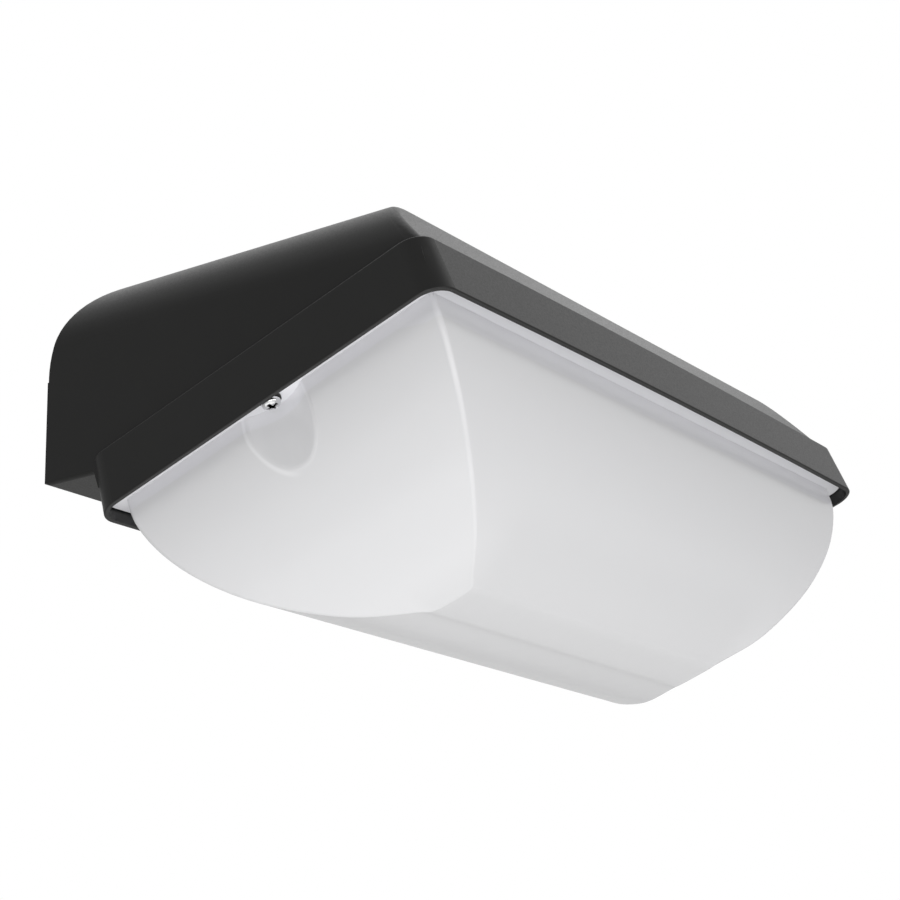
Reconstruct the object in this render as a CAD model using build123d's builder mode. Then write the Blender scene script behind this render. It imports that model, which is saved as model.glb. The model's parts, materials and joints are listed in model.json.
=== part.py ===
from build123d import *
import os
from math import cos, pi, radians, sin, tan

# Wall-mounted porch light. Millimetres, +Z up. The wall is the plane Y = 0 and the light stands out towards -Y.
# The origin is the centre of the four wall holes.

# Hood
WALL_SEAL = 1.5          # foam seal between the housing and the wall
FLAT_HALF = 20.5         # half the height of the flat back
BACK_RADIUS = 37.1       # rounding from the back to the top
FRONT_RAKE = 20.7        # how far the sloped front face leans out from the front edge of the top
SIDE_STEP = 3.5          # side face of the hood to the outside of the skirt's lower edge
SHELL = 3.0              # wall thickness
TOP_ROUND = 25.0         # rounding from the sides to the top
FRONT_ROUND = 4.0        # rounding round the sloped front face
EDGE_ROUND = 1.5         # rounding along the underside

# Mouth and its skirt
MOUTH_WIDTH = 320.0      # outside of the skirt's lower edge, along the wall
MOUTH_DEPTH = 160.0      # outside of the skirt's lower edge, from the wall side to the front
MOUTH_TILT = 19.25       # degrees, front side up
MOUTH_SETBACK = 26.7     # back face to the skirt's lower edge
MOUTH_DROP = 17.5        # underside of the hood to the skirt's lower edge at the wall side
SKIRT_HEIGHT = 22.7
SKIRT_DRAFT = 3.9        # degrees
SKIRT_CORNER = 10.5
SKIRT_TOP_ROUND = 0.9
SKIRT_EDGE_ROUND = 0.5
FRONT_BOW = 1.3          # how far the front edge bulges out
FRONT_STEP = 2.0         # shoulder between the sloped front face and the skirt
SKIRT_LIP = 1.8          # thickness of the lower edge
LEDGE_DEPTH = 9.7        # lower edge up to the ledge that carries the gasket
LEDGE_INSET = 6.5        # outside of the skirt to the inner edge of the ledge

# Diffuser
LENS_WALL = 2.5
LENS_DEPTH = 66.1        # lower edge of the skirt to the crown
LENS_CROWN = 10.0        # crown line, from the middle of the mouth towards the front
LENS_SIDE_INSET = 8.5    # outside of the skirt to the foot of the dome, at the front and the back
LENS_END_INSET = 10.0    # the same at the two ends
LENS_END_REACH = 70.0    # foot of an end curve to where it would level out
LENS_END_RISE = 1.0      # how much deeper the end curves would level out than the crown
FRONT_POWER = 1.70       # roundness of each quarter curve: 2 is an ellipse
BACK_POWER = 1.88
END_POWER = 1.57
HIP_ROUND = 1.8          # rounding of the hips between the ends and the long faces
CURVE_STEPS = 8
FLANGE_DEPTH = 4.7       # lower edge of the skirt up to the diffuser's flange
FLANGE = 3.0             # thickness of the flange
FLANGE_GAP = 0.5         # flange to the inside of the skirt
POCKET_RADIUS = 20.0     # scoop round each cover screw, at the flange
POCKET_REACH = 14.6      # scoop's inmost point there, from the outside of the skirt
POCKET_DRAFT = 5.0       # degrees
POCKET_ROUND = 3.0       # rounding of the scoop's lip
SEAL_SIDE_GAP = 0.8      # gasket to the inside of the skirt and to the ledge's inner edge
SEAL_REST = 0.2          # gasket to the flange that presses on it

# Cover screws, M4
COVER_SCREW_INSET = 8.5  # screw axis, from the outside of the skirt
SCREW_RADIUS = 1.95
SCREW_LENGTH = 13.0
SCREW_HEAD_RADIUS = 3.5
SCREW_HEAD_HEIGHT = 2.6
SCREW_HEAD_ROUND = 1.3
CROSS_LENGTH = 4.2       # cross recess of a cover screw
CROSS_WIDTH = 0.9
CROSS_DEPTH = 1.5
WASHER_RADIUS = 4.0
WASHER_THICKNESS = 0.8
TURN_GAP = 0.2           # free play under the screw's head and over its clip
SCREW_HOLE_SPARE = 0.3   # screw to the hole in the flange
CLIP_RADIUS = 3.4
CLIP_THICKNESS = 1.0
INSERT_RADIUS = 2.8
INSERT_LENGTH = 8.0
INSERT_CLEARANCE = 0.05
BOSS_RADIUS = 11.0
BOSS_LENGTH = 16.5
SEAL_INNER = 7.0         # gasket's detour round a cover screw, inner radius
SEAL_WIDTH = 3.5

# Gear tray
TRAY_DEPTH = 13.0        # lower edge of the skirt up to the tray's lower face
TRAY_SHEET = 1.0
TRAY_SIDE_GAP = 25.0     # outside of the skirt to the tray's edge, at the two ends
TRAY_FRONT_GAP = 14.0    # the same at the front and the back
TRAY_FLANGE = 9.0
TRAY_CORNER = 6.0
POST_RADIUS = 4.5
POST_INSET_X = 17.0      # tray's edge to a post
POST_INSET_Y = 16.0
SMALL_SCREW_RADIUS = 1.5
SMALL_HEAD_RADIUS = 3.0
SMALL_HEAD_HEIGHT = 2.0
SMALL_HEAD_ROUND = 0.8
RECESS_LENGTH = 3.4      # cross recess of a small screw
RECESS_WIDTH = 0.8
RECESS_DEPTH = 1.2
POST_SCREW_LENGTH = 9.0
HOLE_SPARE = 0.25        # small screws to the holes that they pass through

# Light engine
BOARD_INSET = 17.0       # tray's edge to a board's end
BOARD_WIDTH = 20.0
BOARD_THICKNESS = 1.6
BOARD_OFFSET = 28.0      # from the middle of the tray to each board
BOARD_SCREW_INSET = 10.0
BOARD_SCREW_SHIFT = 5.0  # screws, from the middle line of a board away from the middle of the tray
BOARD_SCREW_LENGTH = 6.0
CHIP_COUNT = 12
CHIP_INSET = 24.5        # board's end to the first chip
CHIP_SIZE = 3.5
CHIP_HEIGHT = 0.9
CONNECTOR_LENGTH = 10.0
CONNECTOR_WIDTH = 7.0
CONNECTOR_HEIGHT = 4.0
CONNECTOR_INSET = 4.0    # board's end to the connector
CONNECTOR_SHIFT = 5.5    # connector, from the middle line of a board towards the middle of the tray

# Driver
DRIVER_LENGTH = 116.0
DRIVER_WIDTH = 40.0
DRIVER_HEIGHT = 22.0
DRIVER_LID = 2.0
DRIVER_WALL = 2.0
DRIVER_TAB = 12.0
DRIVER_CORNER = 3.0
DRIVER_GAP = 2.4         # rim of the bushing to the driver's tab
TAB_SCREW_SPREAD = 24.0
TAB_SCREW_LENGTH = 6.0
LID_SCREW_INSET = 5.0
LID_SCREW_LENGTH = 8.0
LID_BOSS_RADIUS = 3.5
PILLAR_RADIUS = 3.0      # pillars under the driver's own board
PILLAR_HEIGHT = 3.0
PILLAR_INSET = 5.0
DRIVER_BOARD_GAP = 1.0   # driver's own board to the case and to its bosses
CORE_LENGTH = 22.0
CORE_WIDTH = 20.0
CORE_HEIGHT = 12.0
CAPACITOR_RADIUS = 5.0
CAPACITOR_HEIGHT = 14.0
CAPACITOR_SPREAD = 30.0  # capacitors, from the middle of the driver

# Terminal block with levers
BLOCK_INSET = 34.0       # tray's edge to the middle of the terminal block
BLOCK_DEPTH = 22.0
BLOCK_HEIGHT = 10.0
POLE_PITCH = 10.5
RIB = 2.0
RIB_HEIGHT = 7.0
RIB_LENGTH = 8.0
LEVER_GAP = 0.3
LEVER_LENGTH = 14.0
LEVER_THICKNESS = 2.4
LEVER_BARREL = 2.4
LEVER_ROUND = 1.0
PIN_RADIUS = 1.0
PIN_RISE = 3.6           # pin axis over the block's top
PIN_SHIFT = 6.0          # pin axis, from the middle of the block
PIN_CLEARANCE = 0.05
EAR_LENGTH = 9.0
EAR_WIDTH = 9.0
EAR_THICKNESS = 2.0
SUPPLY_HOLE_RADIUS = 2.2
SUPPLY_HOLE_DEPTH = 8.0

# Leads
WIRE_RADIUS = 0.9
LEAD_RADIUS = 0.75
LEAD_SPREAD = 1.5        # each LED lead, from the middle of the bushing
POLE_ENTRY = 5.0         # tray to the leads at the terminal block
DRIVER_ENTRY = 18.0      # tray to the leads at the driver
WIRE_END = 0.3           # straight run at each end of a supply lead, as a share of the way across
ARC_SHARE = 0.45         # share of the shorter run that an arc takes up
LUG_REACH = 20.0         # terminal block to the middle of the lug
LUG_Y = 51.0
LUG_RADIUS = 4.0
LUG_THICKNESS = 0.8
LUG_BARREL = 1.7
LUG_SINK = 0.3           # barrel into its plate
LUG_NEAR = 6.0           # middle of the lug's ring to its barrel
BARREL_LENGTH = 7.0
BARREL_RUN = 13.0        # straight run of the earth lead into the barrel
EARTH_SCREW_LENGTH = 5.0
BUSHING_RADIUS = 7.2
BUSHING_LIP = 1.4
BUSHING_BORE = 5.2

# Wall side
HOLE_SPACING_X = 180.0
HOLE_SPACING_Z = 20.0
HOLE_RADIUS = 2.75
SEAL_WASHER_RADIUS = 5.5
SEAL_WASHER_THICKNESS = 1.8
WALL_SEAL_INSET = 1.0    # edge of the flat back to the edge of the foam seal
WALL_SEAL_GAP = 0.5      # foam seal to the grommet
ENTRY_RADIUS = 10.0      # hole for the cable grommet
GROMMET_RIM = 3.0        # how far the grommet's two rims overlap the wall of the housing
GROMMET_OUTER_RIM = 1.2  # thickness on the wall side
GROMMET_INNER_RIM = 2.5
GROMMET_BORE = 4.5
GROMMET_NOSE_WALL = 2.5
GROMMET_NOSE = 8.0

TILT = radians(MOUTH_TILT)
BACK_Y = -WALL_SEAL
TOP_Z = FLAT_HALF + BACK_RADIUS
RIM_Y = BACK_Y - MOUTH_SETBACK
RIM_Z = -FLAT_HALF - MOUTH_DROP


def mouth_point(v, n):
    """World (Y, Z) of a point v from the skirt's wall side and n below its lower edge, along the mouth's own axes."""
    return (RIM_Y - v * cos(TILT) - n * sin(TILT), RIM_Z + v * sin(TILT) - n * cos(TILT))


def mouth_v(y, z):
    """Distance from the skirt's wall side, along the mouth, of a world point."""
    return -(y - RIM_Y) * cos(TILT) + (z - RIM_Z) * sin(TILT)


# Mouth frame: x along the wall, y from the middle towards the front, z out of the mouth.
OUTWARD = (0, -sin(TILT), -cos(TILT))
FORWARD = (0, -cos(TILT), sin(TILT))
BACKWARD = (0, cos(TILT), -sin(TILT))
MIDDLE = (0, *mouth_point(MOUTH_DEPTH / 2, 0))
MOUTH = Plane(origin=MIDDLE, x_dir=(1, 0, 0), z_dir=OUTWARD)
LENGTHWISE = Plane(origin=MIDDLE, x_dir=FORWARD, z_dir=(1, 0, 0))
CROSSWISE = Plane(origin=MIDDLE, x_dir=(1, 0, 0), z_dir=BACKWARD)

SIDES = (-1, 1)
BODY_WIDTH = MOUTH_WIDTH - 2 * SIDE_STEP
CAVITY_WIDTH = BODY_WIDTH - 2 * SHELL
SKIRT_LEAN = tan(radians(SKIRT_DRAFT)) * SKIRT_HEIGHT
COVER_SCREW_X = MOUTH_WIDTH / 2 - COVER_SCREW_INSET
COVER_SCREWS = [(side * COVER_SCREW_X, 0) for side in SIDES]
TRAY_FACE = -TRAY_DEPTH
TRAY_BACK = TRAY_FACE - TRAY_SHEET
TRAY_WIDTH = MOUTH_WIDTH - 2 * TRAY_SIDE_GAP
TRAY_LENGTH = MOUTH_DEPTH - 2 * TRAY_FRONT_GAP
POST_X = TRAY_WIDTH / 2 - POST_INSET_X
POST_Y = TRAY_LENGTH / 2 - POST_INSET_Y
POSTS = [(x * POST_X, y * POST_Y) for x in SIDES for y in SIDES]
WALL_HOLES = [(x * HOLE_SPACING_X / 2, z * HOLE_SPACING_Z / 2) for x in SIDES for z in SIDES]


def front_slope(inset):
    """Upper end and direction of the sloped front face, moved inwards by inset, as seen from the side."""
    landing = Vector(*mouth_point(MOUTH_DEPTH - SKIRT_LEAN - FRONT_STEP, -SKIRT_HEIGHT))
    top = Vector(landing.X + FRONT_RAKE, TOP_Z)
    slope = (landing - top).normalized()
    edge = top + Vector(-slope.Y, slope.X) * inset
    return edge + slope * ((TOP_Z - inset - edge.Y) / slope.Y), slope


def hood_profile(inset, front_v, back_v, low_n):
    """Side profile of the hood, moved inwards by inset, down to n = low_n inside the skirt. Called in a BuildLine."""
    brow, slope = front_slope(inset)
    slope_v = -slope.X * cos(TILT) + slope.Y * sin(TILT)
    chin = brow + slope * ((front_v - mouth_v(brow.X, brow.Y)) / slope_v)
    foot_z = -FLAT_HALF + inset
    heel_n = -(foot_z - RIM_Z - back_v * sin(TILT)) / cos(TILT)
    back = (BACK_Y - inset, FLAT_HALF)
    corner = JernArc(start=back, tangent=(0, 1), radius=BACK_RADIUS - inset, arc_size=90)
    Polyline(corner @ 1, (brow.X, brow.Y), (chin.X, chin.Y), mouth_point(front_v, low_n), mouth_point(back_v, low_n),
             mouth_point(back_v, heel_n), (BACK_Y - inset, foot_z), back)


def hood(inset, front_v, back_v, low_n):
    """Hood, moved inwards by inset: a block with its upper and front edges rounded, cut to the side profile."""
    half = BODY_WIDTH / 2 - inset
    brow, slope = front_slope(inset)
    foot = brow + slope * ((RIM_Z - brow.Y) / slope.Y)
    with BuildPart() as shape:
        with BuildSketch(Plane.YZ.offset(-half)):
            with BuildLine():
                Polyline((BACK_Y, brow.Y), (brow.X, brow.Y), (foot.X, foot.Y), (BACK_Y, foot.Y), close=True)
            make_face()
        extrude(amount=2 * half)
        fillet(edges().filter_by(Axis.Y).group_by(Axis.Z)[-1], TOP_ROUND - inset)
        front = faces().filter_by(GeomType.PLANE).sort_by(Axis.Y)[0]
        fillet(front.edges().group_by(Axis.Z)[1:], FRONT_ROUND - inset)
        with BuildSketch(Plane.YZ.offset(-half)):
            with BuildLine():
                hood_profile(inset, front_v, back_v, low_n)
            make_face()
        extrude(amount=2 * half, mode=Mode.INTERSECT)
    return shape.part


def mouth_outline(inset):
    """Outline of the mouth, moved inwards by inset, with its front edge bulging out."""
    half_x = MOUTH_WIDTH / 2 - inset
    half_y = MOUTH_DEPTH / 2 - inset
    with BuildSketch() as outline:
        with BuildLine():
            Polyline((half_x, half_y), (half_x, -half_y), (-half_x, -half_y), (-half_x, half_y))
            ThreePointArc((-half_x, half_y), (0, half_y + FRONT_BOW), (half_x, half_y))
        make_face()
        fillet(outline.vertices(), max(SKIRT_CORNER - inset, SHELL / 2))
    return outline.sketch


def lip_inset(n):
    """Outside of the skirt's lower edge to the drafted inside of its lip, at a depth n."""
    return SKIRT_LIP - n * tan(radians(SKIRT_DRAFT))


def quarter_curve(reach, depth, power):
    """Points of a quarter curve from its foot (reach, 0) to its crown (0, depth)."""
    angles = [pi / 2 * k / CURVE_STEPS for k in range(CURVE_STEPS + 1)]
    return [(reach * abs(cos(a)) ** (2 / power), depth * sin(a) ** (2 / power)) for a in angles]


def dome(inset, low_n):
    """Dome of the diffuser, moved inwards by inset, from n = low_n to its crown."""
    half_x = MOUTH_WIDTH / 2 - LENS_END_INSET - inset
    half_y = MOUTH_DEPTH / 2 - LENS_SIDE_INSET - inset
    depth = LENS_DEPTH - inset
    front = [(LENS_CROWN + x, n) for x, n in quarter_curve(half_y - LENS_CROWN, depth, FRONT_POWER)]
    back = [(LENS_CROWN - x, n) for x, n in quarter_curve(half_y + LENS_CROWN, depth, BACK_POWER)]
    end_crown = MOUTH_WIDTH / 2 - LENS_END_INSET - LENS_END_REACH
    end = quarter_curve(half_x - end_crown, depth + LENS_END_RISE, END_POWER)
    right = [(end_crown + x, n) for x, n in end]
    left = [(-end_crown - x, n) for x, n in end]
    with BuildPart() as shape:
        with BuildSketch(LENGTHWISE.offset(-MOUTH_WIDTH / 2)):
            with BuildLine():
                Spline(*front, tangents=[(0, 1), (-1, 0)])
                Spline(*back, tangents=[(0, 1), (1, 0)])
                Polyline(front[0], (half_y, low_n), (-half_y, low_n), back[0])
            make_face()
        extrude(amount=MOUTH_WIDTH)
        with BuildSketch(CROSSWISE):
            with BuildLine():
                Spline(*right, tangents=[(0, 1), (-1, 0)])
                Spline(*left, tangents=[(0, 1), (1, 0)])
                Line(right[-1], left[-1])
                Polyline(right[0], (half_x, low_n), (-half_x, low_n), left[0])
            make_face()
        extrude(amount=MOUTH_DEPTH / 2, both=True, mode=Mode.INTERSECT)
    return shape.part


def discs(spots, start, end, radius, mode=Mode.ADD, draft=0):
    """Cylinders at the given places of the mouth, from n = start to n = end, wider there by the draft in degrees.
    Called in a BuildPart."""
    with BuildSketch(MOUTH.offset(start)) as section:
        with Locations(*spots):
            Circle(radius)
    extrude(section.sketch, amount=end - start, taper=-draft, mode=mode)


def blocks(spots, start, end, width, length, mode=Mode.ADD):
    """Boxes at the given places of the mouth, from n = start to n = end. Called in a BuildPart."""
    with BuildSketch(MOUTH.offset(start)) as section:
        with Locations(*spots):
            Rectangle(width, length)
    extrude(section.sketch, amount=end - start, mode=mode)


def wall_discs(spots, start, end, radius, mode=Mode.ADD):
    """Cylinders square to the wall, from start to end away from it. Called in a BuildPart."""
    with BuildSketch(Plane.XZ.offset(start)) as section:
        with Locations(*spots):
            Circle(radius)
    extrude(section.sketch, amount=end - start, mode=mode)


def small_screws(spots, seat, away, length):
    """Cross-head screws whose heads lie on n = seat and point away, +1 out of the mouth. Called in a BuildPart."""
    face = seat + away * SMALL_HEAD_HEIGHT
    discs(spots, seat, face, SMALL_HEAD_RADIUS)
    heads = edges().group_by(Axis(MIDDLE, OUTWARD))[-1 if away > 0 else 0]
    fillet(heads, SMALL_HEAD_ROUND)
    discs(spots, seat, seat - away * length, SMALL_SCREW_RADIUS)
    blocks(spots, face, face - away * RECESS_DEPTH, RECESS_LENGTH, RECESS_WIDTH, Mode.SUBTRACT)
    blocks(spots, face, face - away * RECESS_DEPTH, RECESS_WIDTH, RECESS_LENGTH, Mode.SUBTRACT)


def lead(points, radius):
    """Round lead along straight runs joined by the largest arcs that fit. Called in a BuildPart."""
    spots = [Vector(*point) for point in points]
    radii = []
    for before, here, after in zip(spots, spots[1:], spots[2:]):
        half_turn = radians((here - before).get_angle(after - here)) / 2
        radii.append(ARC_SHARE * min((here - before).length, (after - here).length) / tan(half_turn))
    with BuildLine(MOUTH) as route:
        FilletPolyline(*points, radius=radii)
    with BuildSketch(Plane(route.line @ 0, z_dir=route.line % 0)) as section:
        Circle(radius)
    sweep(section.sketch, path=route.line)


def finish(part, name):
    """Label a finished piece and write it out."""
    part.part.label = name
    export_step(part.part, f"parts/{name}.step")


os.makedirs("parts", exist_ok=True)

# Housing: hood, skirt, ledge, bosses and posts in one casting
skirt_outline = mouth_outline(0)
lip_outline = mouth_outline(SKIRT_LIP)
outer_hood = hood(0, MOUTH_DEPTH - SKIRT_LEAN - FRONT_STEP, LEDGE_INSET / 2, -SKIRT_HEIGHT / 2)
inner_hood = hood(SHELL, MOUTH_DEPTH - LEDGE_INSET, LEDGE_INSET, 0)
FLANGE_BACK = -FLANGE_DEPTH - FLANGE
INSERT_END = -LEDGE_DEPTH - INSERT_LENGTH
HEAD_SEAT = -FLANGE_DEPTH + WASHER_THICKNESS + TURN_GAP

with BuildPart() as posts:
    discs(POSTS, TRAY_BACK, TRAY_BACK - MOUTH_DEPTH, POST_RADIUS)
    with BuildSketch(Plane.YZ.offset(-CAVITY_WIDTH / 2)):
        with BuildLine():
            hood_profile(SHELL / 2, MOUTH_DEPTH - LEDGE_INSET, LEDGE_INSET, 0)
        make_face()
    extrude(amount=CAVITY_WIDTH, mode=Mode.INTERSECT)

with BuildPart() as skirt:
    with BuildSketch(MOUTH):
        add(skirt_outline)
    extrude(amount=-SKIRT_HEIGHT, taper=SKIRT_DRAFT)
    levels = edges().group_by(Axis(MIDDLE, OUTWARD))
    fillet(levels[0], SKIRT_TOP_ROUND)
    fillet(levels[-1], SKIRT_EDGE_ROUND)

with BuildPart() as housing:
    add(outer_hood)
    underside = faces().filter_by(Axis.Z).sort_by(Axis.Z)[0]
    fillet(underside.edges().sort_by(Axis.Y)[1:], EDGE_ROUND)
    add(skirt.part)
    add(inner_hood, mode=Mode.SUBTRACT)
    with BuildSketch(MOUTH):
        add(lip_outline)
    extrude(amount=-LEDGE_DEPTH, taper=SKIRT_DRAFT, mode=Mode.SUBTRACT)
    # Bosses for the cover screws, grown out of the side walls
    with BuildSketch(MOUTH.offset(-LEDGE_DEPTH)):
        with Locations(*COVER_SCREWS):
            Circle(BOSS_RADIUS)
        Rectangle(CAVITY_WIDTH + SHELL, MOUTH_DEPTH, mode=Mode.INTERSECT)
    extrude(amount=-BOSS_LENGTH)
    discs(COVER_SCREWS, -LEDGE_DEPTH, INSERT_END, INSERT_RADIUS, Mode.SUBTRACT)
    # Posts that the gear tray is screwed to
    add(posts.part)
    discs(POSTS, TRAY_BACK, TRAY_BACK - POST_SCREW_LENGTH - HOLE_SPARE, SMALL_SCREW_RADIUS, Mode.SUBTRACT)
    # Wall holes and the cable entry
    wall_discs(WALL_HOLES, WALL_SEAL, WALL_SEAL + SHELL, HOLE_RADIUS, Mode.SUBTRACT)
    wall_discs([(0, 0)], WALL_SEAL, WALL_SEAL + SHELL, ENTRY_RADIUS, Mode.SUBTRACT)
finish(housing, "housing")

# Diffuser: opal dome on a flange inside the skirt, with a scoop for each cover screw
SCOOP_X = MOUTH_WIDTH / 2 - POCKET_REACH + POCKET_RADIUS
SCOOPS = [(side * SCOOP_X, 0) for side in SIDES]
outer_dome = dome(0, FLANGE_BACK)
inner_dome = dome(LENS_WALL, FLANGE_BACK)
flange_outline = mouth_outline(lip_inset(FLANGE_BACK) + FLANGE_GAP)

with BuildPart() as lens_hollow:
    add(inner_dome)
    discs(SCOOPS, FLANGE_BACK, LENS_DEPTH, POCKET_RADIUS + LENS_WALL, Mode.SUBTRACT, POCKET_DRAFT)

with BuildPart() as diffuser:
    add(outer_dome)
    fillet(edges().filter_by(GeomType.LINE, reverse=True), HIP_ROUND)
    discs(SCOOPS, -FLANGE_DEPTH, LENS_DEPTH, POCKET_RADIUS, Mode.SUBTRACT, POCKET_DRAFT)
    lips = edges(Select.LAST).filter_by(GeomType.BSPLINE).group_by(Axis.X)
    fillet(lips[0] + lips[-1], POCKET_ROUND)
    with BuildSketch(MOUTH.offset(-FLANGE_DEPTH)):
        add(flange_outline)
    extrude(amount=-FLANGE)
    add(lens_hollow.part, mode=Mode.SUBTRACT)
    discs(COVER_SCREWS, -FLANGE_DEPTH, FLANGE_BACK, SCREW_RADIUS + SCREW_HOLE_SPARE, Mode.SUBTRACT)
finish(diffuser, "diffuser")

# Gasket on the ledge, led round the inside of each cover screw
seal_outside = mouth_outline(lip_inset(-LEDGE_DEPTH) + SEAL_SIDE_GAP)
seal_inside = mouth_outline(LEDGE_INSET - SEAL_SIDE_GAP)

with BuildSketch() as seal_core:
    add(seal_inside)
    with Locations(*COVER_SCREWS):
        Circle(SEAL_INNER + SEAL_WIDTH, mode=Mode.SUBTRACT)

with BuildPart() as diffuser_gasket:
    with BuildSketch(MOUTH.offset(-LEDGE_DEPTH)):
        add(seal_outside)
        with Locations(*COVER_SCREWS):
            Circle(SEAL_INNER, mode=Mode.SUBTRACT)
        add(seal_core.sketch, mode=Mode.SUBTRACT)
    extrude(amount=LEDGE_DEPTH + FLANGE_BACK - SEAL_REST)
finish(diffuser_gasket, "diffuser_gasket")

# Cover screws with their clips, washers and threaded inserts
for side, name in zip(SIDES, ("left", "right")):
    spot = [(side * COVER_SCREW_X, 0)]
    with BuildPart() as cover_screw:
        head_face = HEAD_SEAT + SCREW_HEAD_HEIGHT
        discs(spot, HEAD_SEAT, head_face, SCREW_HEAD_RADIUS)
        fillet(edges().group_by(Axis(MIDDLE, OUTWARD))[-1], SCREW_HEAD_ROUND)
        discs(spot, HEAD_SEAT, HEAD_SEAT - SCREW_LENGTH, SCREW_RADIUS)
        blocks(spot, head_face, head_face - CROSS_DEPTH, CROSS_LENGTH, CROSS_WIDTH, Mode.SUBTRACT)
        blocks(spot, head_face, head_face - CROSS_DEPTH, CROSS_WIDTH, CROSS_LENGTH, Mode.SUBTRACT)
    finish(cover_screw, f"cover_screw_{name}")
    with BuildPart() as screw_clip:
        clip_start = FLANGE_BACK - TURN_GAP
        discs(spot, clip_start, clip_start - CLIP_THICKNESS, CLIP_RADIUS)
        discs(spot, clip_start, clip_start - CLIP_THICKNESS, SCREW_RADIUS, Mode.SUBTRACT)
    finish(screw_clip, f"screw_clip_{name}")

with BuildPart() as screw_washers:
    washer_face = -FLANGE_DEPTH + WASHER_THICKNESS
    discs(COVER_SCREWS, -FLANGE_DEPTH, washer_face, WASHER_RADIUS)
    discs(COVER_SCREWS, -FLANGE_DEPTH, washer_face, SCREW_RADIUS + SCREW_HOLE_SPARE, Mode.SUBTRACT)
finish(screw_washers, "screw_washers")

with BuildPart() as threaded_inserts:
    discs(COVER_SCREWS, -LEDGE_DEPTH, INSERT_END, INSERT_RADIUS)
    discs(COVER_SCREWS, -LEDGE_DEPTH, INSERT_END, SCREW_RADIUS + INSERT_CLEARANCE, Mode.SUBTRACT)
finish(threaded_inserts, "threaded_inserts")

# Places on the gear tray
BOARD_LENGTH = TRAY_WIDTH - 2 * BOARD_INSET
BOARD_FACE = TRAY_FACE + BOARD_THICKNESS
BOARD_SCREW_X = BOARD_LENGTH / 2 - BOARD_SCREW_INSET
CONNECTOR_X = -BOARD_LENGTH / 2 + CONNECTOR_INSET + CONNECTOR_LENGTH / 2
BUSHING = [(CONNECTOR_X, 0)]
DRIVER_END = CONNECTOR_X + BUSHING_RADIUS + BUSHING_LIP + DRIVER_GAP
DRIVER_X = DRIVER_END + DRIVER_TAB + DRIVER_LENGTH / 2
TAB_X = DRIVER_LENGTH / 2 + DRIVER_TAB / 2
TAB_SCREWS = [(DRIVER_X + x * TAB_X, y * TAB_SCREW_SPREAD / 2) for x in SIDES for y in SIDES]
BLOCK_X = TRAY_WIDTH / 2 - BLOCK_INSET
BLOCK_FACE = BLOCK_X - BLOCK_DEPTH / 2
EAR_X = BLOCK_DEPTH / 2 + EAR_LENGTH / 2
EARS = [(BLOCK_X + side * EAR_X, side * POLE_PITCH / 2) for side in SIDES]
LUG_X = BLOCK_FACE - LUG_REACH
LUG = [(LUG_X, LUG_Y)]


def board_screws_at(side):
    """Screw places of the board on one side of the tray's middle."""
    return [(x * BOARD_SCREW_X, side * (BOARD_OFFSET + BOARD_SCREW_SHIFT)) for x in SIDES]


BOARD_SCREWS = board_screws_at(-1) + board_screws_at(1)

# Gear tray: folded sheet that carries everything inside
with BuildPart() as gear_tray:
    with BuildSketch(MOUTH.offset(TRAY_FACE)):
        RectangleRounded(TRAY_WIDTH, TRAY_LENGTH, TRAY_CORNER)
    extrude(amount=-TRAY_SHEET - TRAY_FLANGE)
    with BuildSketch(MOUTH.offset(TRAY_BACK)):
        RectangleRounded(TRAY_WIDTH - 2 * TRAY_SHEET, TRAY_LENGTH - 2 * TRAY_SHEET, TRAY_CORNER - TRAY_SHEET)
    extrude(amount=-TRAY_FLANGE, mode=Mode.SUBTRACT)
    discs(POSTS, TRAY_FACE, TRAY_BACK, SMALL_SCREW_RADIUS + HOLE_SPARE, Mode.SUBTRACT)
    discs(BOARD_SCREWS + TAB_SCREWS + EARS + LUG, TRAY_FACE, TRAY_BACK, SMALL_SCREW_RADIUS, Mode.SUBTRACT)
    discs(BUSHING, TRAY_FACE, TRAY_BACK, BUSHING_RADIUS, Mode.SUBTRACT)
finish(gear_tray, "gear_tray")

with BuildPart() as tray_screws:
    small_screws(POSTS, TRAY_FACE, 1, TRAY_SHEET + POST_SCREW_LENGTH)
finish(tray_screws, "tray_screws")

with BuildPart() as tray_bushing:
    discs(BUSHING, TRAY_FACE + BUSHING_LIP, TRAY_FACE, BUSHING_RADIUS + BUSHING_LIP)
    discs(BUSHING, TRAY_FACE, TRAY_BACK, BUSHING_RADIUS)
    discs(BUSHING, TRAY_BACK, TRAY_BACK - BUSHING_LIP, BUSHING_RADIUS + BUSHING_LIP)
    discs(BUSHING, TRAY_FACE + BUSHING_LIP, TRAY_BACK - BUSHING_LIP, BUSHING_BORE, Mode.SUBTRACT)
finish(tray_bushing, "tray_bushing")

# Light engine: two boards with a row of chips and a connector each
CHIP_SPAN = BOARD_LENGTH - 2 * CHIP_INSET
CHIP_PLACES = [-CHIP_SPAN / 2 + CHIP_SPAN * k / (CHIP_COUNT - 1) for k in range(CHIP_COUNT)]
for side, name in zip(SIDES, ("rear", "front")):
    with BuildPart() as led_board:
        blocks([(0, side * BOARD_OFFSET)], TRAY_FACE, BOARD_FACE, BOARD_LENGTH, BOARD_WIDTH)
        discs(board_screws_at(side), TRAY_FACE, BOARD_FACE, SMALL_SCREW_RADIUS + HOLE_SPARE, Mode.SUBTRACT)
    finish(led_board, f"led_board_{name}")
    with BuildPart() as led_chips:
        chips = [(x, side * BOARD_OFFSET) for x in CHIP_PLACES]
        blocks(chips, BOARD_FACE, BOARD_FACE + CHIP_HEIGHT, CHIP_SIZE, CHIP_SIZE)
    finish(led_chips, f"led_chips_{name}")

with BuildPart() as board_screws:
    small_screws(BOARD_SCREWS, BOARD_FACE, 1, BOARD_SCREW_LENGTH)
finish(board_screws, "board_screws")

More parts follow.
